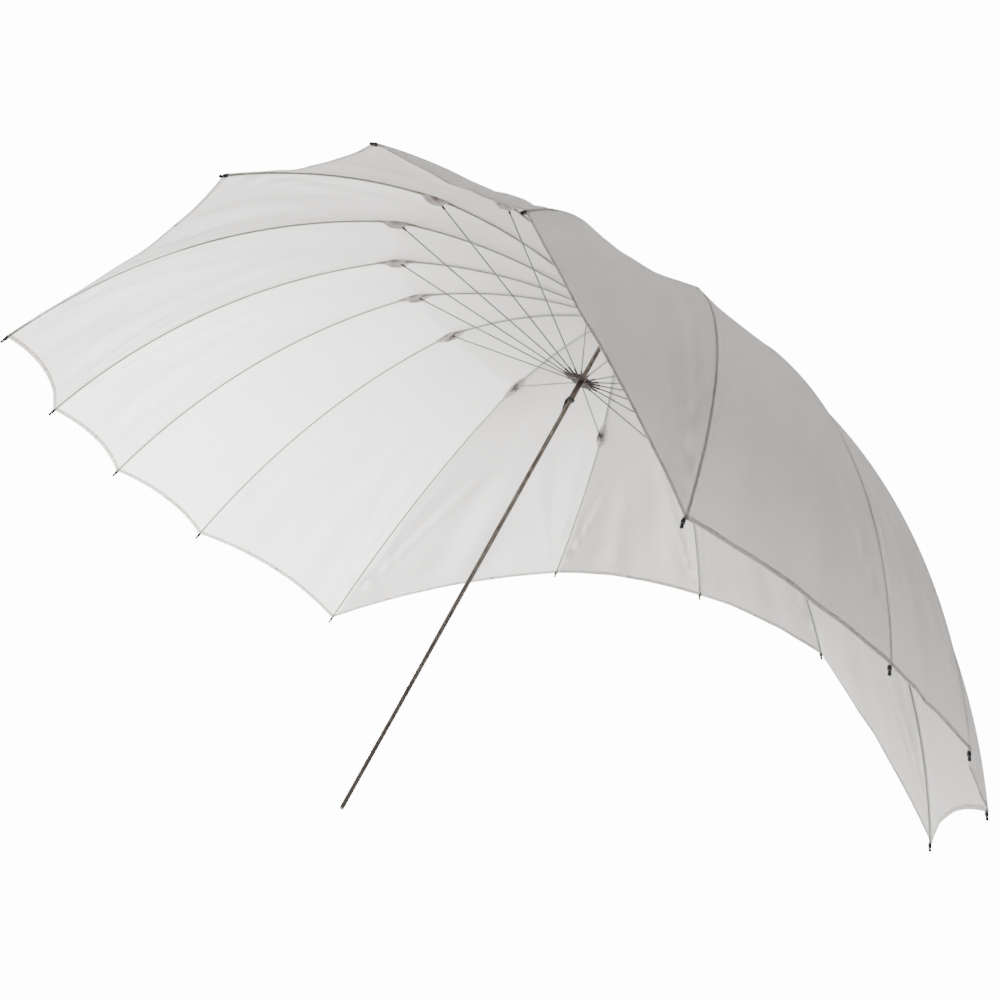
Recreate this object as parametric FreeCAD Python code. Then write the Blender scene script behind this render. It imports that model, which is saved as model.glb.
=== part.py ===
import FreeCAD, Part
import math
import os

# Oblong translucent photographic umbrella, open. Millimetres, +Z up.
# Origin: the free end of the shaft. The shaft lies on the Z axis and the crown is at the top.

os.makedirs("parts", exist_ok=True)
V = FreeCAD.Vector
Z = V(0, 0, 1)

# Frame
RIB_COUNT = 16
BRACKET_RADIUS = 400.0
BRACKET_HEIGHT = 864.0
HINGE_RADIUS = 14.0
CROWN_RISE = 63.0
CROWN_HEIGHT = BRACKET_HEIGHT + CROWN_RISE
RUNNER_HEIGHT = BRACKET_HEIGHT - CROWN_RISE

# Rim: two long drooping lobes along Y, two short raised sides along X
TIP_RADIUS_MEAN = 754.0
TIP_RADIUS_LOBE = 75.0
TIP_RADIUS_LEAN = 27.0
TIP_DROP_MEAN = 313.0
TIP_DROP_LOBE = 178.0
TIP_DROP_LEAN = 37.0
TIP_DROP_SIDE = 12.0
LOBE_STEEPNESS = 5.7
LOBE_SHARE = 0.57

# Uneven spacing of the ribs, degrees
SPREAD_OFFSET = -1.1
SPREAD_ALONG_X = 1.9
SPREAD_ALONG_Y = -4.8
SPREAD_SECOND = 5.0
SPREAD_FOURTH = -2.2

# Shaft
SHAFT_RADIUS = 4.0
SHAFT_BORE = 3.1
SHAFT_TOP = CROWN_HEIGHT + 6.0
CLAMP_LENGTH = 700.0
GROOVE_WIDTH = 3.0
GROOVE_RADIUS = 3.7
END_CAP_LENGTH = 3.0
PLUG_LENGTH = 12.0

# Crown and runner rings
RING_RADIUS = 18.0
RING_HALF_HEIGHT = 4.0
SLOT_WIDTH = 2.4
SLOT_FLOOR = 9.5
PIN_RADIUS = 0.6
PIN_LENGTH = 3.2
CROWN_CAP_RADIUS = 21.0
CROWN_CAP_GAP = 3.4
RUNNER_BORE = 4.08
SLEEVE_RADIUS = 5.2
SLEEVE_LENGTH = 32.0
COLLAR_RADIUS = 7.0
COLLAR_LENGTH = 4.5
KEYWAY_WIDTH = 2.2
KEYWAY_DEPTH = 9.2

# Rods and their end fittings
FIT = 0.05
EYE_RADIUS = 2.2
EYE_THICKNESS = 2.0
BLADE_LENGTH = 9.0
BLADE_HEIGHT = 3.0
ROD_START = 7.0
RIB_RADIUS = 1.5
STRETCHER_RADIUS = 1.2
FERRULE_RADIUS = 1.7
FERRULE_LENGTH = 14.0
CHEEK_RADIUS = 2.4
CHEEK_INNER = 1.0
CHEEK_OUTER = 1.9
YOKE_START = 7.0
YOKE_LENGTH = 4.0
YOKE_HEIGHT = 3.6
TONGUE_HALF = 0.8
BRACKET_PIN_RADIUS = 0.8
BRACKET_PIN_INNER = 2.6
BRACKET_PIN_OUTER = 4.0
STRETCHER_SIDE = 3.0
SIDE_BLADE_NEAR = 2.1
SIDE_BLADE_FAR = 3.0
CAP_RADIUS = 2.3
CAP_LENGTH = 12.0
CAP_TIP_RADIUS = 1.2

# Canopy
FABRIC_THICKNESS = 1.0
FABRIC_OFFSET = 5.4
CROWN_LIFT = 2.4
CROWN_LIFT_REACH = 40.0
FABRIC_SAG = 8.0
HEM_SCALLOP = 0.10
FABRIC_END = 0.985
COLUMNS_PER_GORE = 4
ROWS = 20

# Leaf-spring catch in the shaft, under the runner
CATCH_AZIMUTH = -55.0
CATCH_THICKNESS = 1.2
CATCH_SLOT = 1.6
CATCH_TOP = RUNNER_HEIGHT - RING_HALF_HEIGHT - SLEEVE_LENGTH - COLLAR_LENGTH - 0.5
CATCH_LENGTH = 34.0
CATCH_REACH = 8.4
CATCH_PIVOT_X = 1.6
CATCH_PIVOT_RADIUS = 0.7


def save(shapes, name):
    shape = shapes[0] if len(shapes) == 1 else Part.makeCompound(shapes)
    shape.exportStep("parts/" + name + ".step")


def nominal_azimuth(index):
    return -2 * math.pi * index / RIB_COUNT


def rib_azimuth(index):
    a = nominal_azimuth(index)
    spread = SPREAD_OFFSET + SPREAD_ALONG_X * math.cos(a) + SPREAD_ALONG_Y * math.sin(a)
    spread += SPREAD_SECOND * math.sin(2 * a) + SPREAD_FOURTH * math.sin(4 * a)
    return a + math.radians(spread)


def radial(azimuth):
    return V(math.cos(azimuth), math.sin(azimuth), 0)


def tangent(azimuth):
    return V(-math.sin(azimuth), math.cos(azimuth), 0)


def in_plane(azimuth, radius, height):
    return radial(azimuth) * radius + Z * height


def tip_place(index):
    a = nominal_azimuth(index)
    lobe = math.tanh(LOBE_STEEPNESS * (LOBE_SHARE - math.cos(2 * a)))
    radius = TIP_RADIUS_MEAN + TIP_RADIUS_LOBE * lobe + TIP_RADIUS_LEAN * math.sin(a)
    drop = TIP_DROP_MEAN + TIP_DROP_LOBE * lobe
    drop -= TIP_DROP_LEAN * math.sin(a) + TIP_DROP_SIDE * math.cos(a)
    return radius, drop


def rib_height(radius, bend):
    return BRACKET_HEIGHT + CROWN_RISE * (1 - (radius / BRACKET_RADIUS) ** bend)


def rib_arcs(index):
    """Inner arc, crown hinge to bracket, and outer arc, bracket to tip."""
    a = rib_azimuth(index)
    tip_radius, drop = tip_place(index)
    bend = math.log(1 + drop / CROWN_RISE) / math.log(tip_radius / BRACKET_RADIUS)
    middle = 0.5 * (HINGE_RADIUS + BRACKET_RADIUS)
    outer_middle = 0.5 * (BRACKET_RADIUS + tip_radius)
    crown = in_plane(a, HINGE_RADIUS, CROWN_HEIGHT)
    inner_middle = in_plane(a, middle, rib_height(middle, bend))
    bracket = in_plane(a, BRACKET_RADIUS, BRACKET_HEIGHT)
    far_middle = in_plane(a, outer_middle, rib_height(outer_middle, bend))
    tip = in_plane(a, tip_radius, BRACKET_HEIGHT - drop)
    return Part.ArcOfCircle(crown, inner_middle, bracket), Part.ArcOfCircle(bracket, far_middle, tip)


def arc_at(arc, distance):
    """Point and direction at a distance along an arc."""
    parameter = arc.FirstParameter + distance / arc.Radius
    return arc.value(parameter), arc.tangent(parameter)[0]


def arc_length(arc):
    return (arc.LastParameter - arc.FirstParameter) * arc.Radius


def bent_rod(arc, start, end, radius):
    point, direction = arc_at(arc, start)
    circle = Part.Circle(point, direction, radius).toShape()
    face = Part.Face(Part.Wire([circle]))
    angle = math.degrees((end - start) / arc.Radius)
    return face.revolve(arc.Center, arc.Axis, angle)


def disc(centre, side, near, far, radius):
    """Cylinder along the sideways direction, between two sideways distances."""
    return Part.makeCylinder(radius, far - near, centre + side * near, side)


def blade(origin, along, side, reach, near, far, height):
    """Flat bar: reach is (start, end) along, near and far are sideways, centred in height."""
    start, end = reach
    up = along.cross(side)
    low = origin + along * start + side * near - up * (height / 2)
    corners = [low, low + along * (end - start), low + along * (end - start) + side * (far - near)]
    corners += [low + side * (far - near), low]
    return Part.Face(Part.makePolygon(corners)).extrude(up * height)


def notched_ring(height, bore):
    base = V(0, 0, height - RING_HALF_HEIGHT)
    ring = Part.makeCylinder(RING_RADIUS, 2 * RING_HALF_HEIGHT, base)
    ring = ring.cut(Part.makeCylinder(bore, 2 * RING_HALF_HEIGHT, base))
    for index in range(RIB_COUNT):
        a = rib_azimuth(index)
        half = SLOT_WIDTH / 2
        reach = (SLOT_FLOOR, RING_RADIUS + 1)
        slot = blade(V(0, 0, height), radial(a), tangent(a), reach, -half, half, 3 * RING_HALF_HEIGHT)
        ring = ring.cut(slot)
    return ring


def ring_pins(height):
    pins = []
    for index in range(RIB_COUNT):
        a = rib_azimuth(index)
        centre = in_plane(a, HINGE_RADIUS, height)
        pins.append(disc(centre, tangent(a), -PIN_LENGTH / 2, PIN_LENGTH / 2, PIN_RADIUS))
    return pins


def with_pin_holes(ring, pins):
    for pin in pins:
        ring = ring.cut(pin)
    return ring


def eye_blade(centre, along, side):
    """Eye and flat blade that turns in a slot of the crown or runner."""
    half = EYE_THICKNESS / 2
    fitting = disc(centre, side, -half, half, EYE_RADIUS)
    fitting = fitting.fuse(blade(centre, along, side, (0, BLADE_LENGTH), -half, half, BLADE_HEIGHT))
    return fitting.cut(disc(centre, side, -half, half, PIN_RADIUS + FIT))


def build_shaft():
    catch_side = radial(math.radians(CATCH_AZIMUTH))
    catch_across = tangent(math.radians(CATCH_AZIMUTH))
    length = SHAFT_TOP - END_CAP_LENGTH
    tube = Part.makeCylinder(SHAFT_RADIUS, length, V(0, 0, END_CAP_LENGTH))
    tube = tube.cut(Part.makeCylinder(SHAFT_BORE, length, V(0, 0, END_CAP_LENGTH)))
    middle = V(0, 0, CATCH_TOP - CATCH_LENGTH / 2)
    slot = blade(middle, catch_side, catch_across, (0, 2 * SHAFT_RADIUS),
                 -CATCH_SLOT / 2, CATCH_SLOT / 2, CATCH_LENGTH + 4)
    tube = tube.cut(slot)
    groove = Part.makeCylinder(2 * SHAFT_RADIUS, GROOVE_WIDTH, V(0, 0, CLAMP_LENGTH))
    tube = tube.cut(groove.cut(Part.makeCylinder(GROOVE_RADIUS, GROOVE_WIDTH, V(0, 0, CLAMP_LENGTH))))
    pivot = catch_pivot()
    save([tube.cut(pivot)], "shaft")
    save([pivot], "catch_pivot_pin")
    cap = Part.makeCylinder(SHAFT_RADIUS, END_CAP_LENGTH)
    cap = cap.fuse(Part.makeCylinder(SHAFT_BORE, END_CAP_LENGTH + PLUG_LENGTH))
    save([cap], "shaft_end_cap")


def catch_pivot():
    side = radial(math.radians(CATCH_AZIMUTH))
    across = tangent(math.radians(CATCH_AZIMUTH))
    centre = side * CATCH_PIVOT_X + Z * (CATCH_TOP - CATCH_LENGTH + 2)
    reach = math.sqrt(SHAFT_RADIUS ** 2 - CATCH_PIVOT_X ** 2) - 0.2
    return disc(centre, across, -reach, reach, CATCH_PIVOT_RADIUS)


def build_catch():
    side = radial(math.radians(CATCH_AZIMUTH))
    across = tangent(math.radians(CATCH_AZIMUTH))
    half = CATCH_THICKNESS / 2
    low = CATCH_TOP - CATCH_LENGTH
    outline = [(0.4, low), (3.2, low), (3.6, low + 8), (CATCH_REACH, CATCH_TOP)]
    outline += [(1.8, CATCH_TOP), (0.4, low + 8), (0.4, low)]
    points = [side * x + Z * z - across * half for x, z in outline]
    plate = Part.Face(Part.makePolygon(points)).extrude(across * CATCH_THICKNESS)
    centre = side * CATCH_PIVOT_X + Z * (low + 2)
    hole = disc(centre, across, -half, half, CATCH_PIVOT_RADIUS + FIT)
    save([plate.cut(hole)], "runner_catch")


def build_crown():
    pins = ring_pins(CROWN_HEIGHT)
    ring = notched_ring(CROWN_HEIGHT, SHAFT_RADIUS)
    save([with_pin_holes(ring, pins)], "crown")
    save(pins, "crown_pins")
    top = CROWN_HEIGHT + RING_HALF_HEIGHT
    boss_height = CROWN_CAP_GAP + 1.0
    boss = Part.makeCylinder(SLOT_FLOOR - 1, boss_height, V(0, 0, top))
    boss = boss.cut(Part.makeCylinder(SHAFT_RADIUS, SHAFT_TOP - top, V(0, 0, top)))
    plate = Part.makeCylinder(CROWN_CAP_RADIUS, 2.0, V(0, 0, top + CROWN_CAP_GAP + 1.0))
    dome = Part.makeCone(9.0, 5.0, 6.0, V(0, 0, top + CROWN_CAP_GAP + 3.0))
    save([boss.fuse(plate).fuse(dome).removeSplitter()], "crown_cap")


def build_runner():
    pins = ring_pins(RUNNER_HEIGHT)
    ring = with_pin_holes(notched_ring(RUNNER_HEIGHT, RUNNER_BORE), pins)
    sleeve_top = RUNNER_HEIGHT - RING_HALF_HEIGHT
    sleeve_base = V(0, 0, sleeve_top - SLEEVE_LENGTH)
    sleeve = Part.makeCylinder(SLEEVE_RADIUS, SLEEVE_LENGTH, sleeve_base)
    sleeve = sleeve.cut(Part.makeCylinder(RUNNER_BORE, SLEEVE_LENGTH, sleeve_base))
    low = sleeve_top - SLEEVE_LENGTH - COLLAR_LENGTH
    collar = Part.makeCylinder(COLLAR_RADIUS, COLLAR_LENGTH, V(0, 0, low))
    collar = collar.cut(Part.makeCylinder(RUNNER_BORE, COLLAR_LENGTH, V(0, 0, low)))
    a = math.radians(CATCH_AZIMUTH)
    half = KEYWAY_WIDTH / 2
    keyway = blade(V(0, 0, RUNNER_HEIGHT), radial(a), tangent(a), (0, KEYWAY_DEPTH), -half, half, 200)
    save([ring.fuse(sleeve).removeSplitter().cut(keyway)], "runner")
    save([collar.cut(keyway)], "runner_collar")
    save(pins, "runner_pins")


def build_rib_inner(index):
    side = tangent(rib_azimuth(index))
    arc = rib_arcs(index)[0]
    length = arc_length(arc)
    crown, out = arc_at(arc, 0)
    bracket, along = arc_at(arc, length)
    eye = eye_blade(crown, out, side)
    rod = bent_rod(arc, BLADE_LENGTH, length - YOKE_START - YOKE_LENGTH, RIB_RADIUS)
    yoke = blade(bracket, along, side, (-YOKE_START - YOKE_LENGTH, -YOKE_START + 1),
                 -CHEEK_OUTER, CHEEK_OUTER, YOKE_HEIGHT)
    for near, far in ((-CHEEK_OUTER, -CHEEK_INNER), (CHEEK_INNER, CHEEK_OUTER)):
        yoke = yoke.fuse(blade(bracket, along, side, (-YOKE_START, 0), near, far, YOKE_HEIGHT))
        yoke = yoke.fuse(disc(bracket, side, near, far, CHEEK_RADIUS))
    yoke = yoke.fuse(disc(bracket, side, -BRACKET_PIN_INNER, BRACKET_PIN_OUTER, BRACKET_PIN_RADIUS))
    save([rod, eye, yoke], "rib_inner_%02d" % (index + 1))


def build_rib_outer(index):
    side = tangent(rib_azimuth(index))
    arc = rib_arcs(index)[1]
    length = arc_length(arc)
    bracket, along = arc_at(arc, 0)
    tip, out = arc_at(arc, length)
    tongue = disc(bracket, side, -TONGUE_HALF, TONGUE_HALF, CHEEK_RADIUS)
    tongue = tongue.fuse(blade(bracket, along, side, (0, BLADE_LENGTH),
                               -TONGUE_HALF, TONGUE_HALF, BLADE_HEIGHT))
    tongue = tongue.cut(disc(bracket, side, -TONGUE_HALF, TONGUE_HALF, BRACKET_PIN_RADIUS + FIT))
    rod = bent_rod(arc, BLADE_LENGTH, length - CAP_LENGTH, RIB_RADIUS)
    cap = Part.makeCylinder(CAP_RADIUS, CAP_LENGTH * 0.7, tip - out * CAP_LENGTH, out)
    cap = cap.fuse(Part.makeCylinder(CAP_TIP_RADIUS, CAP_LENGTH * 0.4, tip - out * CAP_LENGTH * 0.4, out))
    save([rod, tongue, cap], "rib_outer_%02d" % (index + 1))


def build_stretcher(index):
    a = rib_azimuth(index)
    side = tangent(a)
    foot = in_plane(a, HINGE_RADIUS, RUNNER_HEIGHT)
    bracket = in_plane(a, BRACKET_RADIUS, BRACKET_HEIGHT)
    along = (bracket - foot).normalize()
    eye = eye_blade(foot, along, side)
    bottom = foot + along * ROD_START
    top = bracket - along * (BLADE_LENGTH - 1) + side * STRETCHER_SIDE
    direction = (top - bottom).normalize()
    near, far = SIDE_BLADE_NEAR, SIDE_BLADE_FAR
    far_blade = blade(bracket, along, side, (-BLADE_LENGTH - 2, 0), near, far, BLADE_HEIGHT)
    far_blade = far_blade.fuse(disc(bracket, side, near, far, EYE_RADIUS))
    far_blade = far_blade.cut(disc(bracket, side, near, far, BRACKET_PIN_RADIUS + FIT))
    rod_length = (top - bottom).Length - 2 * FERRULE_LENGTH
    rod = Part.makeCylinder(STRETCHER_RADIUS, rod_length, bottom + direction * FERRULE_LENGTH, direction)
    high_start = top - direction * FERRULE_LENGTH
    foot_fitting = eye.fuse(Part.makeCylinder(FERRULE_RADIUS, FERRULE_LENGTH, bottom, direction))
    top_fitting = far_blade.fuse(Part.makeCylinder(FERRULE_RADIUS, FERRULE_LENGTH, high_start, direction))
    save([rod, foot_fitting, top_fitting], "stretcher_%02d" % (index + 1))


def fabric_point(arcs, share, depth):
    """Point over one rib at a share of its length, pushed out to the fabric less a depth."""
    inner, outer = arcs
    distance = share * (arc_length(inner) + arc_length(outer))
    arc = inner
    if distance > arc_length(inner):
        distance -= arc_length(inner)
        arc = outer
    point, direction = arc_at(arc, distance)
    outward = V(direction.x, direction.y, 0).normalize()
    normal = Z * (direction * outward) - outward * direction.z
    lift = CROWN_LIFT * math.exp(-share * arc_length(inner) / CROWN_LIFT_REACH)
    return point + normal * (FABRIC_OFFSET + lift - depth)


def gore_grid(index, depth):
    """Columns of points over one gore, rib to rib, without the last column."""
    left = rib_arcs(index)
    right = rib_arcs((index + 1) % RIB_COUNT)
    tips = left[1].value(left[1].LastParameter), right[1].value(right[1].LastParameter)
    width = (tips[1] - tips[0]).Length
    length = arc_length(left[0]) + arc_length(left[1])
    columns = []
    for step in range(COLUMNS_PER_GORE):
        across = step / COLUMNS_PER_GORE
        bow = 4 * across * (1 - across)
        hem = FABRIC_END - HEM_SCALLOP * width / length * bow
        column = []
        for row in range(ROWS + 1):
            share = hem * row / ROWS
            a = fabric_point(left, share, depth)
            b = fabric_point(right, share, depth)
            column.append(a * (1 - across) + b * across - Z * (FABRIC_SAG * bow * share))
        columns.append(column)
    return columns


def fabric_surface(depth):
    columns = []
    for index in range(RIB_COUNT):
        columns += gore_grid(index, depth)
    columns.append(columns[0])
    surface = Part.BSplineSurface()
    surface.interpolate(columns)
    return surface


def gore_solid(outer, inner, index):
    """One sewn gore, cut from the whole surfaces along the ribs on both sides."""
    first = index * COLUMNS_PER_GORE
    last = first + COLUMNS_PER_GORE
    panels = []
    for surface in (outer, inner):
        panel = surface.copy()
        knots = surface.getUKnots()
        panel.segment(knots[first], knots[last], 0, 1)
        panels.append(panel)
    faces = [panel.toShape() for panel in panels]
    for end in (0, 1):
        rims = [panel.vIso(end).toShape() for panel in panels]
        faces.append(Part.makeRuledSurface(rims[0], rims[1]))
        seams = [panel.uIso(panel.getUKnots()[-end]).toShape() for panel in panels]
        faces.append(Part.makeRuledSurface(seams[0], seams[1]))
    shell = Part.makeCompound(faces)
    shell.sewShape(0.01)
    solid = Part.Solid(Part.Shell(shell.Faces))
    if solid.Volume < 0:
        solid.reverse()
    return solid


def build_canopy():
    outer = fabric_surface(0)
    inner = fabric_surface(FABRIC_THICKNESS)
    gores = [gore_solid(outer, inner, index) for index in range(RIB_COUNT)]
    save(gores, "canopy")
    print("gores valid", all(gore.isValid() for gore in gores), "mm3", round(sum(g.Volume for g in gores)))


build_shaft()
build_catch()
build_crown()
build_runner()
for rib in range(RIB_COUNT):
    build_rib_inner(rib)
    build_rib_outer(rib)
    build_stretcher(rib)
build_canopy()
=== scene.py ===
import math

import bpy
import numpy as np
from mathutils import Matrix, Vector


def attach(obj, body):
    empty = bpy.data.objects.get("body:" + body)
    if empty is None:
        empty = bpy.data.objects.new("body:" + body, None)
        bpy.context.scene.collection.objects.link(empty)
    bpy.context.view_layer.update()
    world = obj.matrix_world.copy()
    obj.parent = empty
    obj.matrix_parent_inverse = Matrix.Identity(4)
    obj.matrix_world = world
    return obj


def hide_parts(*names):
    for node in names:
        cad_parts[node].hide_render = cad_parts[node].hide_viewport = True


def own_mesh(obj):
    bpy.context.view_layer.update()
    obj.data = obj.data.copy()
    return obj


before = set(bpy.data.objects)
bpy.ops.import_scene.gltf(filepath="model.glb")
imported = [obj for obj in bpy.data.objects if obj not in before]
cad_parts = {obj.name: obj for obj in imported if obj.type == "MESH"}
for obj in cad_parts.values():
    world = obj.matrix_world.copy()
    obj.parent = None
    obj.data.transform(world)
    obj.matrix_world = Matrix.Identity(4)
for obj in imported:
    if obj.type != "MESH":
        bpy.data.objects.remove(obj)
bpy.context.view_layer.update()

# Frame of the umbrella, in metres
RIB_COUNT = 16
BRACKET_RADIUS = 0.400
BRACKET_HEIGHT = 0.864
HINGE_RADIUS = 0.014
CROWN_RISE = 0.063
CROWN_HEIGHT = BRACKET_HEIGHT + CROWN_RISE

# Rim of the canopy
TIP_RADIUS_MEAN = 0.754
TIP_RADIUS_LOBE = 0.075
TIP_RADIUS_LEAN = 0.027
TIP_DROP_MEAN = 0.313
TIP_DROP_LOBE = 0.178
TIP_DROP_LEAN = 0.037
TIP_DROP_SIDE = 0.012
LOBE_STEEPNESS = 5.7
LOBE_SHARE = 0.57

# Uneven spacing of the ribs, degrees
SPREAD_OFFSET = -1.1
SPREAD_ALONG_X = 1.9
SPREAD_ALONG_Y = -4.8
SPREAD_SECOND = 5.0
SPREAD_FOURTH = -2.2

# Fabric
FABRIC_OFFSET = 0.0029
CROWN_LIFT = 0.0033
CROWN_LIFT_REACH = 0.040
FABRIC_SAG = 0.010
FABRIC_END = 0.991
ROWS = 96
GORE_COLUMNS = 32
NORMAL_STEP = 1e-4
NORMAL_SPREAD = (-0.06, -0.03, 0.0, 0.03, 0.06)

# Share of a gore drawn with its first rib: a short rib beside a long one gets less than half
EVEN_SHARE = 0.5
SHORT_RIB_SHARE = 0.3
LONG_RIB_DROP = 0.36

# Soft folds of the fabric: heights in metres, places and reaches as shares of the rib.
# Fan and wave rows: height factor, waves across, waves along, phase factor.
GORE_PHASE = 1.7
FAN_HEIGHT = 0.0042
FAN_START = 0.35
FAN_WAVES = ((1.0, 2.5, 0.35, 1.0), (0.6, 4.3, -0.8, 2.3))
WAVE_HEIGHT = 0.0013
WAVE_START = 0.1
WAVE_SLOPE = 1.6
CROSS_WAVES = ((1.0, 1.2, 3.1, 1.3),)
# Pulls fan out from just past the tip. Rows: height factor, turns, phase factor.
PULL_HEIGHT = 0.0080
PULL_CENTRE = 1.02
PULL_REACH = 0.30
PULL_TURN = 0.65
PULL_WAVES = ((1.0, 14, 1.0), (0.5, 25, 2.1))
TAUT_LOSS = 0.8
TAUT_REACH = 0.05

# Hem
HEM_SCALLOP = 0.065
HEM_WIDTH = 0.0065
HEM_THICKNESS = 0.0010
HEM_TAPER = 0.8
HEM_ROUND = 0.0006

# Guards over the rib joints: lead and clip place are shares of the guard's length. The clip rows
# below paint a shadow of the joint's clip into the guard's colour.
GUARD_LENGTH = 0.070
GUARD_COLUMNS = 25
GUARD_ROWS = 13
GUARD_LEAD = 0.52
GUARD_STEP = 0.002
GUARD_WRAP = math.radians(118)
GUARD_RADIUS = 0.0062
GUARD_RIPPLE = 0.0006
GUARD_FLATNESS = 0.35
GUARD_HANG = 3.6
GUARD_CLEARANCE = 0.0005
CLIP_PLACE = 0.56
CLIP_REACH = 0.15
CLIP_DEPTH = 0.006
CLIP_SHADOW = 0.8

# Tip caps: distance past the rib's tip and radius
TIP_CAP_OUTLINE = (
    (-0.0105, 0.0017), (-0.0100, 0.0026), (-0.0050, 0.0028), (-0.0044, 0.0025),
    (-0.0038, 0.0020), (-0.0015, 0.0019), (-0.0010, 0.0023), (0.0006, 0.0025),
    (0.0020, 0.0018), (0.0026, 0.0007),
)
TIP_CAP_SIDES = 20
TIP_AIM_SHARE = 0.985

# Fabric material, in metres
WEAVE_PITCH = 0.0007
SEAM_WIDTH = 0.0030
STITCH_LINE = 0.0024
STITCH_HALF_WIDTH = 0.0005

# Rods: their end fittings lie nearer and farther than these distances from the shaft
INNER_FITTINGS = (0.0225, 0.3890)
OUTER_FITTINGS = (0.4085, 9.0)
STRETCHER_FITTINGS = (0.0350, 0.3780)

# Stage and light. The backdrop's edges are cosines of the angle from its direction.
FLOOR_HEIGHT = -1.2
FLOOR_RADIUS = 2.4
FLOOR_SIDES = 96
SEEN_WHITE = 14.0
BACKDROP_DIRECTION = (-0.60, -0.80, 0.05)
BACKDROP_COLOUR = (1.0, 0.955, 0.92, 1)
BACKDROP_EDGES = (-0.1, 0.9)
BACKDROP_GLOW = 0.74
ROOM_GLOW = 0.05
SHINE_COLOUR = (1.0, 0.98, 0.96, 1)
SHINE_GLOW = 0.7
# Lamps: name, place, aim, size in metres, watts
LAMPS = (
    ("key", (-0.3, -3.1, 0.75), (0.0, 0.0, 0.7), 1.6, 1050),
    ("low", (-1.3, -2.6, -0.7), (0.0, 0.9, 0.3), 0.9, 30),
)

# Camera
CAMERA_PLACE = Vector((1.8567, 1.3247, -0.0394))
CAMERA_FORWARD = Vector((-0.7829, -0.5692, 0.2511))
CAMERA_ROLL = 29.44
CAMERA_LENS = 51.9
SENSOR = 36.0


# ---------------------------------------------------------------- rib geometry

def nominal_azimuth(index):
    return -2 * math.pi * index / RIB_COUNT


def rib_azimuth(index):
    a = nominal_azimuth(index)
    spread = SPREAD_OFFSET + SPREAD_ALONG_X * math.cos(a) + SPREAD_ALONG_Y * math.sin(a)
    spread += SPREAD_SECOND * math.sin(2 * a) + SPREAD_FOURTH * math.sin(4 * a)
    return a + math.radians(spread)


def radial(azimuth):
    return Vector((math.cos(azimuth), math.sin(azimuth), 0))


def sideways(azimuth):
    return Vector((-math.sin(azimuth), math.cos(azimuth), 0))


def tip_place(index):
    a = nominal_azimuth(index)
    lobe = math.tanh(LOBE_STEEPNESS * (LOBE_SHARE - math.cos(2 * a)))
    radius = TIP_RADIUS_MEAN + TIP_RADIUS_LOBE * lobe + TIP_RADIUS_LEAN * math.sin(a)
    drop = TIP_DROP_MEAN + TIP_DROP_LOBE * lobe
    drop -= TIP_DROP_LEAN * math.sin(a) + TIP_DROP_SIDE * math.cos(a)
    return radius, drop


class Arc:
    """A circular arc through three points of a rib's upright plane (radius, height)."""

    def __init__(self, first, middle, last):
        first, middle, last = (np.array(p, float) for p in (first, middle, last))
        rows = np.array([middle - first, last - first])
        sums = np.array([(middle @ middle - first @ first) / 2, (last @ last - first @ first) / 2])
        self.centre = np.linalg.solve(rows, sums)
        self.radius = float(np.linalg.norm(first - self.centre))
        start = first - self.centre
        end = last - self.centre
        self.start = math.atan2(start[1], start[0])
        turn = math.atan2(end[1], end[0]) - self.start
        self.turn = (turn + math.pi) % (2 * math.pi) - math.pi
        self.length = abs(self.turn) * self.radius

    def at(self, distance):
        """Points and outward normals at distances along the arc."""
        angle = self.start + self.turn * np.asarray(distance) / self.length
        normal = np.stack([np.cos(angle), np.sin(angle)], -1)
        return self.centre + self.radius * normal, normal


class Rib:
    def __init__(self, index):
        self.azimuth = rib_azimuth(index)
        self.tip_radius, self.drop = tip_place(index)
        bend = math.log(1 + self.drop / CROWN_RISE) / math.log(self.tip_radius / BRACKET_RADIUS)

        def height(radius):
            return BRACKET_HEIGHT + CROWN_RISE * (1 - (radius / BRACKET_RADIUS) ** bend)

        inner_middle = (HINGE_RADIUS + BRACKET_RADIUS) / 2
        outer_middle = (BRACKET_RADIUS + self.tip_radius) / 2
        bracket = (BRACKET_RADIUS, BRACKET_HEIGHT)
        tip = (self.tip_radius, BRACKET_HEIGHT - self.drop)
        hinge = (HINGE_RADIUS, CROWN_HEIGHT)
        self.inner = Arc(hinge, (inner_middle, height(inner_middle)), bracket)
        self.outer = Arc(bracket, (outer_middle, height(outer_middle)), tip)
        self.length = self.inner.length + self.outer.length
        self.bracket_share = self.inner.length / self.length
        self.is_long = self.drop > LONG_RIB_DROP

    def plane_points(self, share):
        """Points (radius, height) and normals at shares of the rib's length."""
        distance = np.asarray(share) * self.length
        on_inner = distance <= self.inner.length
        p1, n1 = self.inner.at(np.minimum(distance, self.inner.length))
        p2, n2 = self.outer.at(np.maximum(distance - self.inner.length, 0))
        points = np.where(on_inner[..., None], p1, p2)
        normals = np.where(on_inner[..., None], n1, n2)
        return points, normals

    def points(self, share, offset):
        """Points in space over the rib, pushed out along the normal by offset."""
        flat, normal = self.plane_points(share)
        flat = flat + normal * np.asarray(offset)[..., None]
        out = np.array(radial(self.azimuth))
        return flat[..., :1] * out + flat[..., 1:] * np.array((0, 0, 1.0))


RIBS = [Rib(index) for index in range(RIB_COUNT)]


def fabric_offset(share, rib):
    lift = CROWN_LIFT * np.exp(-share * rib.inner.length / CROWN_LIFT_REACH)
    return FABRIC_OFFSET + lift


def rib_point(rib, share):
    return Vector(rib.points(np.array(float(share)), np.array(0.0)))


# ---------------------------------------------------------------- canopy surface

def waves(across, share, phase, rows):
    return sum(height * np.sin(2 * math.pi * (x * across + y * share) + factor * phase)
               for height, x, y, factor in rows)


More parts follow.
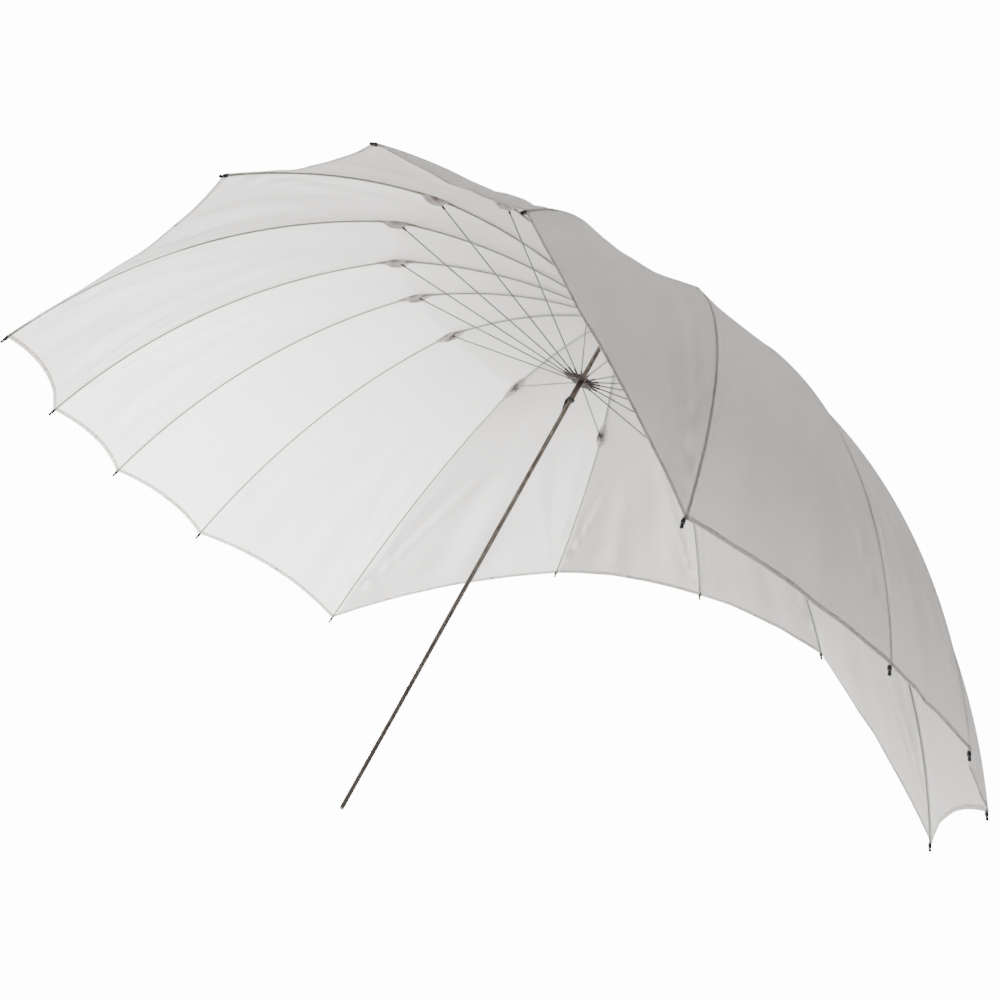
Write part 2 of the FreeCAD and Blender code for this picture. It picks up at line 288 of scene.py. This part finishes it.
def wrinkles(index, across, share):
    """Heights of a gore's soft folds: a fan towards the hem, waves, and pulls from the tips."""
    phase = GORE_PHASE * index
    bow = 4 * across * (1 - across)
    fade = np.sin(math.pi * across)
    near_rim = np.clip((share - FAN_START) / (1 - FAN_START), 0, 1) ** 2
    fan = waves(across, share, phase, FAN_WAVES)
    cross = waves(across, share, phase, CROSS_WAVES)
    height = FAN_HEIGHT * fan * near_rim * fade
    height += WAVE_HEIGHT * cross * bow * np.clip(share * WAVE_SLOPE - WAVE_START, 0, 1)
    edge = np.minimum(across, 1 - across)
    turn = np.arctan2(edge, PULL_CENTRE - share)
    corner = np.exp(-((1 - share) / PULL_REACH) ** 2) * np.exp(-(turn / PULL_TURN) ** 2)
    pull = sum(factor * np.sin(rate * turn + lag * phase) for factor, rate, lag in PULL_WAVES)
    taut = 1 - TAUT_LOSS * np.exp(-((1 - share) / TAUT_REACH) ** 2)
    return (height + PULL_HEIGHT * corner * pull * fade) * taut


def soft_normals(rib, share):
    """The rib's normals, evened out over a stretch on both sides of each place."""
    near = (share + step for step in NORMAL_SPREAD)
    return sum(rib.plane_points(np.clip(s, 0, 1))[1] for s in near) / len(NORMAL_SPREAD)


def gore_points(index, across, share):
    """Points of the gore between rib index and the next, for arrays across and share."""
    left = RIBS[index % RIB_COUNT]
    right = RIBS[(index + 1) % RIB_COUNT]
    tips = [rib.points(np.array(1.0), np.array(0.0)) for rib in (left, right)]
    width = float(np.linalg.norm(tips[1] - tips[0]))
    bow = 4 * across * (1 - across)
    hem = FABRIC_END - HEM_SCALLOP * width / left.length * bow
    s = hem * share
    a = left.points(s, fabric_offset(s, left))
    b = right.points(s, fabric_offset(s, right))
    base = a * (1 - across[..., None]) + b * across[..., None]
    between = (radial(left.azimuth) + radial(right.azimuth)).normalized()
    normal = soft_normals(left, s) + soft_normals(right, s)
    normal /= np.linalg.norm(normal, axis=-1, keepdims=True)
    outward = normal[..., :1] * np.array(between) + normal[..., 1:] * np.array((0, 0, 1.0))
    sag = FABRIC_SAG * bow * s
    ripple = wrinkles(index % RIB_COUNT, across, share)
    return base + outward * (ripple - sag)[..., None]


def split_share(index):
    """The share of the gore after rib index that is drawn with that rib."""
    left = RIBS[index % RIB_COUNT]
    right = RIBS[(index + 1) % RIB_COUNT]
    if left.is_long == right.is_long:
        return EVEN_SHARE
    return 1 - SHORT_RIB_SHARE if left.is_long else SHORT_RIB_SHARE


def grid_faces(columns, rows):
    faces = []
    for c in range(columns - 1):
        for r in range(rows - 1):
            a = c * rows + r
            faces.append((a, a + rows, a + rows + 1, a + 1))
    return faces


def new_mesh(name, points, faces):
    mesh = bpy.data.meshes.new(name)
    mesh.from_pydata([tuple(p) for p in points], [], faces)
    mesh.update()
    piece = bpy.data.objects.new(name, mesh)
    bpy.context.scene.collection.objects.link(piece)
    mesh.polygons.foreach_set("use_smooth", [True] * len(mesh.polygons))
    return piece


def store(mesh, name, values):
    attribute = mesh.attributes.new(name, "FLOAT", "POINT")
    attribute.data.foreach_set("value", np.asarray(values, np.float32).ravel())


def surface_grid(index):
    """All columns of the gore after rib index: points, outward normals and seam distances."""
    across = np.linspace(0, 1, GORE_COLUMNS + 1)[:, None] * np.ones((1, ROWS + 1))
    share = np.ones((GORE_COLUMNS + 1, 1)) * np.linspace(0, 1, ROWS + 1)[None, :]
    points = gore_points(index, across, share)
    step = NORMAL_STEP
    along_across = gore_points(index, across + step, share)
    along_across -= gore_points(index, across - step, share)
    along_share = gore_points(index, across, share + step)
    along_share -= gore_points(index, across, share - step)
    normals = np.cross(along_across, along_share)
    normals /= np.linalg.norm(normals, axis=-1, keepdims=True) + 1e-12
    left_edge = np.linalg.norm(points - points[:1], axis=-1)
    right_edge = np.linalg.norm(points - points[-1:], axis=-1)
    return points, normals, np.minimum(left_edge, right_edge)


GRIDS = [surface_grid(index) for index in range(RIB_COUNT)]


def panel_columns(index):
    """Grids of the two half gores beside a rib, joined at the rib, in order round the canopy."""
    before = GRIDS[(index - 1) % RIB_COUNT]
    after = GRIDS[index]
    start = round(split_share((index - 1) % RIB_COUNT) * GORE_COLUMNS)
    stop = round(split_share(index) * GORE_COLUMNS)
    return [np.concatenate([b[start:], a[1:stop + 1]], axis=0) for b, a in zip(before, after)]


def hem_band(points, normals):
    """Closed flat tube of folded fabric along the hem: points and faces."""
    edge = points[:, -1]
    inward = points[:, -3] - edge
    inward /= np.linalg.norm(inward, axis=-1, keepdims=True)
    normal = normals[:, -1]
    half = HEM_THICKNESS / 2
    thin = half * HEM_TAPER
    sections = [(0.0, half), (HEM_WIDTH, thin), (HEM_WIDTH, -thin), (0.0, -half), (-HEM_ROUND, 0.0)]
    rings = [edge + inward * reach + normal * lift for reach, lift in sections]
    ring_points = np.stack(rings, axis=1)
    columns, corners = ring_points.shape[:2]
    faces = []
    for c in range(columns - 1):
        for k in range(corners):
            n = (k + 1) % corners
            here, beside = c * corners, (c + 1) * corners
            faces.append((here + k, here + n, beside + n, beside + k))
    faces.append(tuple(range(corners)))
    faces.append(tuple((columns - 1) * corners + k for k in reversed(range(corners))))
    return ring_points.reshape(-1, 3), faces


def make_panel(index, name, first, last, body, hem_material=None):
    """A rib's panel from row first to row last, with a hem band where a material is given."""
    points, normals, seam = panel_columns(index)
    part = slice(first, last + 1)
    grid = points[:, part]
    columns, rows = grid.shape[:2]
    piece = new_mesh(name, grid.reshape(-1, 3), grid_faces(columns, rows))
    piece.data.materials.append(FABRIC)
    store(piece.data, "seam", seam[:, part])
    panel_normals = normals[:, part].reshape(-1, 3)
    piece.data.normals_split_custom_set_from_vertices([tuple(n) for n in panel_normals])
    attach(piece, body)
    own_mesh(piece)
    if hem_material is not None:
        band_points, band_faces = hem_band(points, normals)
        band = new_mesh(name + "_hem", band_points, band_faces)
        band.data.materials.append(hem_material)
        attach(band, body)
        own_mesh(band)
    return piece


# ---------------------------------------------------------------- materials

def new_material(name):
    material = bpy.data.materials.new(name)
    material.use_nodes = True
    tree = material.node_tree
    tree.nodes.clear()
    return material, tree


def add(tree, kind, **inputs):
    node = tree.nodes.new(kind)
    for key, value in inputs.items():
        node.inputs[key.replace("_", " ")].default_value = value
    return node


def maths(tree, operation, first, second=None):
    node = tree.nodes.new("ShaderNodeMath")
    node.operation = operation
    for slot, value in enumerate((first, second)):
        if value is None:
            continue
        if isinstance(value, (int, float)):
            node.inputs[slot].default_value = value
        else:
            tree.links.new(value, node.inputs[slot])
    return node.outputs[0]


def blend_colour(tree, factor, first, second):
    node = tree.nodes.new("ShaderNodeMix")
    node.data_type = "RGBA"
    if isinstance(factor, (int, float)):
        node.inputs[0].default_value = factor
    else:
        tree.links.new(factor, node.inputs[0])
    for slot, value in ((6, first), (7, second)):
        if isinstance(value, tuple):
            node.inputs[slot].default_value = (*value, 1)
        else:
            tree.links.new(value, node.inputs[slot])
    return node.outputs[2]


def place(tree):
    return tree.nodes.new("ShaderNodeTexCoord").outputs["Object"]


def noise(tree, scale, detail=3.0, stretch=None):
    node = add(tree, "ShaderNodeTexNoise", Scale=scale, Detail=detail)
    source = place(tree)
    if stretch is not None:
        mapping = add(tree, "ShaderNodeMapping", Scale=stretch)
        tree.links.new(source, mapping.inputs["Vector"])
        source = mapping.outputs[0]
    tree.links.new(source, node.inputs["Vector"])
    return node.outputs[0]


def ramp(tree, value, low, high):
    node = tree.nodes.new("ShaderNodeMapRange")
    node.inputs["From Min"].default_value = low
    node.inputs["From Max"].default_value = high
    tree.links.new(value, node.inputs["Value"])
    return node.outputs[0]


def bump(tree, height, strength, distance):
    node = add(tree, "ShaderNodeBump", Strength=strength, Distance=distance)
    tree.links.new(height, node.inputs["Height"])
    return node.outputs[0]


def weave_height(tree, pitch):
    """Plain weave: two crossed sets of threads."""
    waves = []
    for axis in ("X", "Y", "Z"):
        wave = add(tree, "ShaderNodeTexWave", Scale=0.314 / pitch, Distortion=0.6)
        wave.bands_direction = axis
        tree.links.new(place(tree), wave.inputs["Vector"])
        waves.append(wave.outputs[1])
    return maths(tree, "MAXIMUM", maths(tree, "MAXIMUM", waves[0], waves[1]), waves[2])


def attribute(tree, name):
    node = tree.nodes.new("ShaderNodeAttribute")
    node.attribute_name = name
    return node.outputs["Fac"]


def fabric_material(name, tint, glow, has_seams=False, shadow=None):
    """Thin woven fabric that lets the share glow of the light through."""
    material, tree = new_material(name)
    cloud = ramp(tree, noise(tree, 5.0, 2.0), 0.3, 0.7)
    grain = ramp(tree, noise(tree, 900.0, 2.0), 0.3, 0.7)
    shade = tuple(c * 0.955 for c in tint)
    colour = blend_colour(tree, cloud, shade, tint)
    flecks = maths(tree, "MULTIPLY", grain, 0.10)
    colour = blend_colour(tree, flecks, colour, tuple(c * 0.9 for c in tint))
    weave = weave_height(tree, WEAVE_PITCH)
    height = maths(tree, "MULTIPLY", weave, 0.25)
    if has_seams:
        from_seam = attribute(tree, "seam")
        seam_mask = maths(tree, "LESS_THAN", from_seam, SEAM_WIDTH)
        stitch_line = maths(tree, "COMPARE", from_seam, STITCH_LINE)
        stitch_line.node.inputs[2].default_value = STITCH_HALF_WIDTH
        dashes = maths(tree, "GREATER_THAN", noise(tree, 260.0, 0.0), 0.47)
        stitch = maths(tree, "MULTIPLY", stitch_line, dashes)
        doubled = maths(tree, "MULTIPLY", seam_mask, 0.22)
        colour = blend_colour(tree, doubled, colour, tuple(c * 0.72 for c in tint))
        thread = maths(tree, "MULTIPLY", stitch, 0.5)
        colour = blend_colour(tree, thread, colour, tuple(c * 0.6 for c in tint))
        height = maths(tree, "ADD", height, maths(tree, "MULTIPLY", seam_mask, 1.2))
        creases = ramp(tree, noise(tree, 26.0, 2.0, (1.0, 1.0, 0.35)), 0.25, 0.75)
        height = maths(tree, "ADD", height, maths(tree, "MULTIPLY", creases, 1.6))
    else:
        dashes = ramp(tree, noise(tree, 420.0, 1.0), 0.42, 0.58)
        thread = maths(tree, "MULTIPLY", dashes, 0.16)
        colour = blend_colour(tree, thread, colour, tuple(c * 0.6 for c in tint))
        height = maths(tree, "ADD", height, maths(tree, "MULTIPLY", dashes, 1.5))
    if shadow is not None:
        # Painted shadow: the colour darkens to near black where the named attribute is high.
        colour = blend_colour(tree, attribute(tree, shadow), colour, (0.10, 0.08, 0.075))
    normal = bump(tree, height, 0.35, 0.0006)
    cloth = add(tree, "ShaderNodeBsdfPrincipled", Roughness=0.62)
    cloth.inputs["Sheen Weight"].default_value = 0.15
    cloth.inputs["Specular IOR Level"].default_value = 0.3
    through = add(tree, "ShaderNodeBsdfTranslucent")
    for shader in (cloth, through):
        tree.links.new(colour, shader.inputs[0])
        tree.links.new(normal, shader.inputs["Normal"])
    mix = add(tree, "ShaderNodeMixShader")
    mix.inputs[0].default_value = glow
    tree.links.new(cloth.outputs[0], mix.inputs[1])
    tree.links.new(through.outputs[0], mix.inputs[2])
    out = tree.nodes.new("ShaderNodeOutputMaterial")
    tree.links.new(mix.outputs[0], out.inputs[0])
    return material


def finish_principled(tree, colour, roughness, metallic, normal):
    shader = add(tree, "ShaderNodeBsdfPrincipled", Metallic=metallic)
    tree.links.new(colour, shader.inputs["Base Color"])
    tree.links.new(roughness, shader.inputs["Roughness"])
    tree.links.new(normal, shader.inputs["Normal"])
    out = tree.nodes.new("ShaderNodeOutputMaterial")
    tree.links.new(shader.outputs[0], out.inputs[0])


def metal_material(name, dark, light, rough, streak):
    """Brushed or blackened metal with fine streaks along Z and worn, paler patches."""
    material, tree = new_material(name)
    lines = ramp(tree, noise(tree, streak, 4.0, (1.0, 1.0, 0.03)), 0.3, 0.7)
    wear = ramp(tree, noise(tree, 55.0, 5.0), 0.48, 0.72)
    colour = blend_colour(tree, maths(tree, "MULTIPLY", lines, 0.5), dark, light)
    colour = blend_colour(tree, maths(tree, "MULTIPLY", wear, 0.35), colour, light)
    roughness = maths(tree, "ADD", maths(tree, "MULTIPLY", lines, 0.12), rough)
    finish_principled(tree, colour, roughness, 1.0, bump(tree, lines, 0.15, 0.0001))
    return material


def horizontal_distance(tree):
    split = tree.nodes.new("ShaderNodeSeparateXYZ")
    tree.links.new(place(tree), split.inputs[0])
    across = maths(tree, "MULTIPLY", split.outputs[0], split.outputs[0])
    along = maths(tree, "MULTIPLY", split.outputs[1], split.outputs[1])
    return maths(tree, "SQRT", maths(tree, "ADD", across, along))


def rod_material(name, rod, fitting, fitting_reach, metallic=0.0):
    """A rod whose dark metal fittings lie nearer and farther than fitting_reach from the shaft."""
    near, far = fitting_reach
    material, tree = new_material(name)
    reach = horizontal_distance(tree)
    is_fitting = maths(tree, "MAXIMUM", maths(tree, "LESS_THAN", reach, near),
                       maths(tree, "GREATER_THAN", reach, far))
    fibre = ramp(tree, noise(tree, 320.0, 4.0), 0.3, 0.7)
    scuff = ramp(tree, noise(tree, 40.0, 5.0), 0.5, 0.75)
    strands = maths(tree, "MULTIPLY", fibre, 0.4)
    colour = blend_colour(tree, strands, rod, tuple(c * 0.86 for c in rod))
    marks = maths(tree, "MULTIPLY", scuff, 0.25)
    colour = blend_colour(tree, marks, colour, tuple(c * 0.7 for c in rod))
    rubbed = maths(tree, "MULTIPLY", scuff, 0.5)
    worn = blend_colour(tree, rubbed, fitting, tuple(c * 2.2 for c in fitting))
    colour = blend_colour(tree, is_fitting, colour, worn)
    roughness = maths(tree, "ADD", maths(tree, "MULTIPLY", fibre, 0.12), 0.34)
    finish_principled(tree, colour, roughness, metallic, bump(tree, fibre, 0.2, 0.0001))
    return material


def plastic_material(name, tint, rough):
    material, tree = new_material(name)
    grain = ramp(tree, noise(tree, 1400.0, 2.0), 0.3, 0.7)
    scuff = ramp(tree, noise(tree, 60.0, 6.0), 0.55, 0.8)
    specks = maths(tree, "MULTIPLY", grain, 0.4)
    colour = blend_colour(tree, specks, tint, tuple(c * 0.8 for c in tint))
    marks = maths(tree, "MULTIPLY", scuff, 0.35)
    colour = blend_colour(tree, marks, colour, tuple(c * 2.0 for c in tint))
    roughness = maths(tree, "ADD", maths(tree, "MULTIPLY", grain, 0.14), rough)
    finish_principled(tree, colour, roughness, 0.0, bump(tree, grain, 0.25, 0.0002))
    return material


FABRIC = fabric_material("fabric_white", (0.655, 0.636, 0.618), glow=0.34, has_seams=True)
# The hem is the canopy's own fabric, painted paler and made more see-through: painted light that
# lifts the shade of its folded layers.
HEM_PAINTED_LIGHT = fabric_material("fabric_hem_painted_light", (0.90, 0.875, 0.85), glow=0.85)
# The guard's colour takes a painted shadow of the clip from its 'clip' attribute.
GUARD = fabric_material("fabric_guard", (0.60, 0.55, 0.54), glow=0.45, shadow="clip")
SHAFT = metal_material("steel_shaft", (0.085, 0.072, 0.062), (0.36, 0.33, 0.30), 0.26, 500.0)
BRONZE = metal_material("bronze_runner", (0.060, 0.048, 0.042), (0.26, 0.22, 0.20), 0.34, 600.0)
BLACK = metal_material("steel_black", (0.018, 0.018, 0.019), (0.10, 0.10, 0.10), 0.36, 700.0)
BRIGHT = metal_material("metal_bright", (0.55, 0.55, 0.56), (0.80, 0.80, 0.81), 0.18, 500.0)
PLASTIC = plastic_material("plastic_black", (0.028, 0.028, 0.029), 0.42)
RIB_FITTING = (0.045, 0.038, 0.035)
STRETCHER_FITTING = (0.035, 0.026, 0.023)
INNER_ROD = rod_material("rib_inner_rod", (0.24, 0.25, 0.205), RIB_FITTING, INNER_FITTINGS)
OUTER_ROD = rod_material("rib_outer_rod", (0.30, 0.31, 0.255), RIB_FITTING, OUTER_FITTINGS)
STRETCHER = rod_material("stretcher_rod", (0.155, 0.155, 0.135), STRETCHER_FITTING,
                         STRETCHER_FITTINGS, metallic=0.4)


# ---------------------------------------------------------------- pieces

def rib_number(index):
    return "%02d" % (index + 1)


def paint(node, material):
    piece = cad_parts[node]
    if not piece.data.materials:
        piece.data.materials.append(material)
    for holder in piece.material_slots:
        holder.link = "OBJECT"
        holder.material = material


def build_canopy():
    for index, rib in enumerate(RIBS):
        number = rib_number(index)
        joint_row = round(rib.bracket_share / FABRIC_END * ROWS)
        inner = make_panel(index, "gore_inner_" + number, 0, joint_row, "rib_inner_" + number)
        make_panel(index, "gore_outer_" + number, joint_row, ROWS, "rib_outer_" + number, HEM_PAINTED_LIGHT)
        if index == 0:
            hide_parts("canopy")


def lathe(name, base, direction, outline, steps, material):
    """Turned piece: outline is (distance along direction, radius) pairs."""
    axis = Vector(direction).normalized()
    first = axis.orthogonal().normalized()
    second = axis.cross(first)
    points = []
    for reach, radius in outline:
        for k in range(steps):
            angle = 2 * math.pi * k / steps
            out = first * math.cos(angle) + second * math.sin(angle)
            points.append(base + axis * reach + out * radius)
    faces = []
    for ring in range(len(outline) - 1):
        for k in range(steps):
            n = (k + 1) % steps
            here, above = ring * steps, (ring + 1) * steps
            faces.append((here + k, here + n, above + n, above + k))
    faces.append(tuple(reversed(range(steps))))
    faces.append(tuple((len(outline) - 1) * steps + k for k in range(steps)))
    piece = new_mesh(name, points, faces)
    piece.data.materials.append(material)
    return piece


def build_tip_cap(index):
    rib = RIBS[index]
    tip = rib_point(rib, 1.0)
    direction = (tip - rib_point(rib, TIP_AIM_SHARE)).normalized()
    number = rib_number(index)
    cap = lathe("tip_cap_" + number, tip, direction, TIP_CAP_OUTLINE, TIP_CAP_SIDES, BLACK)
    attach(cap, "rib_outer_" + number)


def build_guard(index):
    """Small fabric patch sewn over the rib joint, wrapped half round it, with a painted shadow of
    the clip in its colour.
    """
    rib = RIBS[index]
    side = sideways(rib.azimuth)
    points = []
    shadow = []
    for c in range(GUARD_COLUMNS):
        t = c / (GUARD_COLUMNS - 1)
        share = rib.bracket_share + (t - GUARD_LEAD) * GUARD_LENGTH / rib.length
        here = rib_point(rib, share)
        ahead = rib_point(rib, share + GUARD_STEP)
        along = (ahead - here).normalized()
        up = side.cross(along).normalized()
        if up.z < 0:
            up = -up
        spread = math.sin(math.pi * min(max(t, 0.02), 0.98)) ** 0.55
        for r in range(GUARD_ROWS):
            angle = GUARD_WRAP * (2 * r / (GUARD_ROWS - 1) - 1) * spread
            radius = GUARD_RADIUS + GUARD_RIPPLE * math.sin(9 * t + 5 * r / GUARD_ROWS)
            lowered = up * (radius * math.cos(angle) * GUARD_FLATNESS - GUARD_CLEARANCE)
            if abs(angle) > math.pi / 2:
                lowered = up * (radius * math.cos(angle) * GUARD_HANG)
            points.append(here + side * (radius * math.sin(angle)) + lowered)
            # Painted shadow of the joint's clip: darkest at the clip place and close over the rib,
            # stored in the 'clip' attribute.
            depth = lowered.length / CLIP_DEPTH
            near_clip = math.exp(-((t - CLIP_PLACE) / CLIP_REACH) ** 2 - depth ** 2)
            shadow.append(CLIP_SHADOW * near_clip)
    number = rib_number(index)
    faces = grid_faces(GUARD_COLUMNS, GUARD_ROWS)
    guard = new_mesh("joint_guard_" + number, points, faces)
    guard.data.materials.append(GUARD)
    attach(guard, "rib_inner_" + number)
    store(guard.data, "clip", shadow)


def paint_frame():
    for number in (rib_number(index) for index in range(RIB_COUNT)):
        paint("rib_inner_" + number, INNER_ROD)
        paint("rib_outer_" + number, OUTER_ROD)
        paint("stretcher_" + number, STRETCHER)
    paint("shaft", SHAFT)
    paint("shaft_end_cap", BRIGHT)
    paint("runner", BRONZE)
    for node in ("catch_pivot_pin", "crown_pins", "runner_pins", "runner_catch"):
        paint(node, BLACK)
    for node in ("crown", "crown_cap", "runner_collar"):
        paint(node, PLASTIC)


build_canopy()
for rib_index in range(RIB_COUNT):
    build_tip_cap(rib_index)
    build_guard(rib_index)
paint_frame()


# ---------------------------------------------------------------- stage, light and camera

def build_floor():
    turns = [2 * math.pi * k / FLOOR_SIDES for k in range(FLOOR_SIDES)]
    rim = [(FLOOR_RADIUS * math.cos(t), FLOOR_RADIUS * math.sin(t), FLOOR_HEIGHT) for t in turns]
    floor = new_mesh("floor", rim, [tuple(range(FLOOR_SIDES))])
    material, tree = new_material("floor_pale")
    grain = ramp(tree, noise(tree, 3.0, 4.0), 0.2, 0.8)
    colour = blend_colour(tree, grain, (0.93, 0.93, 0.93), (0.95, 0.95, 0.95))
    roughness = maths(tree, "ADD", maths(tree, "MULTIPLY", grain, 0.05), 0.8)
    finish_principled(tree, colour, roughness, 0.0, bump(tree, grain, 0.05, 0.001))
    floor.data.materials.append(material)


def build_world():
    """White as the camera sees it, a soft backdrop as light, and an even shine in reflections."""
    world = bpy.data.worlds.new("studio")
    bpy.context.scene.world = world
    world.use_nodes = True
    tree = world.node_tree
    tree.nodes.clear()
    seen = add(tree, "ShaderNodeBackground", Color=(1, 1, 1, 1), Strength=SEEN_WHITE)
    soft = add(tree, "ShaderNodeBackground", Color=BACKDROP_COLOUR)
    towards = tree.nodes.new("ShaderNodeVectorMath")
    towards.operation = "DOT_PRODUCT"
    towards.inputs[1].default_value = BACKDROP_DIRECTION
    direction = tree.nodes.new("ShaderNodeTexCoord").outputs["Generated"]
    tree.links.new(direction, towards.inputs[0])
    lit = tree.nodes.new("ShaderNodeMapRange")
    lit.interpolation_type = "SMOOTHSTEP"
    lit.inputs["From Min"].default_value = BACKDROP_EDGES[0]
    lit.inputs["From Max"].default_value = BACKDROP_EDGES[1]
    lit.inputs["To Min"].default_value = ROOM_GLOW
    lit.inputs["To Max"].default_value = BACKDROP_GLOW
    tree.links.new(towards.outputs["Value"], lit.inputs["Value"])
    tree.links.new(lit.outputs[0], soft.inputs["Strength"])
    shine = add(tree, "ShaderNodeBackground", Color=SHINE_COLOUR, Strength=SHINE_GLOW)
    path = tree.nodes.new("ShaderNodeLightPath")
    glossy = add(tree, "ShaderNodeMixShader")
    tree.links.new(path.outputs["Is Glossy Ray"], glossy.inputs[0])
    tree.links.new(soft.outputs[0], glossy.inputs[1])
    tree.links.new(shine.outputs[0], glossy.inputs[2])
    mix = add(tree, "ShaderNodeMixShader")
    tree.links.new(path.outputs["Is Camera Ray"], mix.inputs[0])
    tree.links.new(glossy.outputs[0], mix.inputs[1])
    tree.links.new(seen.outputs[0], mix.inputs[2])
    out = tree.nodes.new("ShaderNodeOutputWorld")
    tree.links.new(mix.outputs[0], out.inputs[0])


def area_light(name, place_at, aim, size, power):
    light = bpy.data.lights.new(name, "AREA")
    light.size = size
    light.energy = power
    lamp = bpy.data.objects.new(name, light)
    lamp.location = place_at
    lamp.visible_camera = False
    lamp.rotation_mode = "QUATERNION"
    lamp.rotation_quaternion = (Vector(aim) - Vector(place_at)).to_track_quat("-Z", "Y")
    bpy.context.scene.collection.objects.link(lamp)


def build_camera():
    camera = bpy.data.cameras.new("camera")
    camera.lens = CAMERA_LENS
    camera.sensor_width = SENSOR
    holder = bpy.data.objects.new("camera", camera)
    forward = CAMERA_FORWARD.normalized()
    level = forward.cross(Vector((0, 0, 1))).normalized()
    upright = level.cross(forward)
    roll = math.radians(CAMERA_ROLL)
    right = level * math.cos(roll) + upright * math.sin(roll)
    up = right.cross(forward)
    turn = Matrix((right, up, -forward)).transposed().to_4x4()
    holder.matrix_world = Matrix.Translation(CAMERA_PLACE) @ turn
    bpy.context.scene.collection.objects.link(holder)
    bpy.context.scene.camera = holder


build_floor()
build_world()
for lamp_values in LAMPS:
    area_light(*lamp_values)
build_camera()
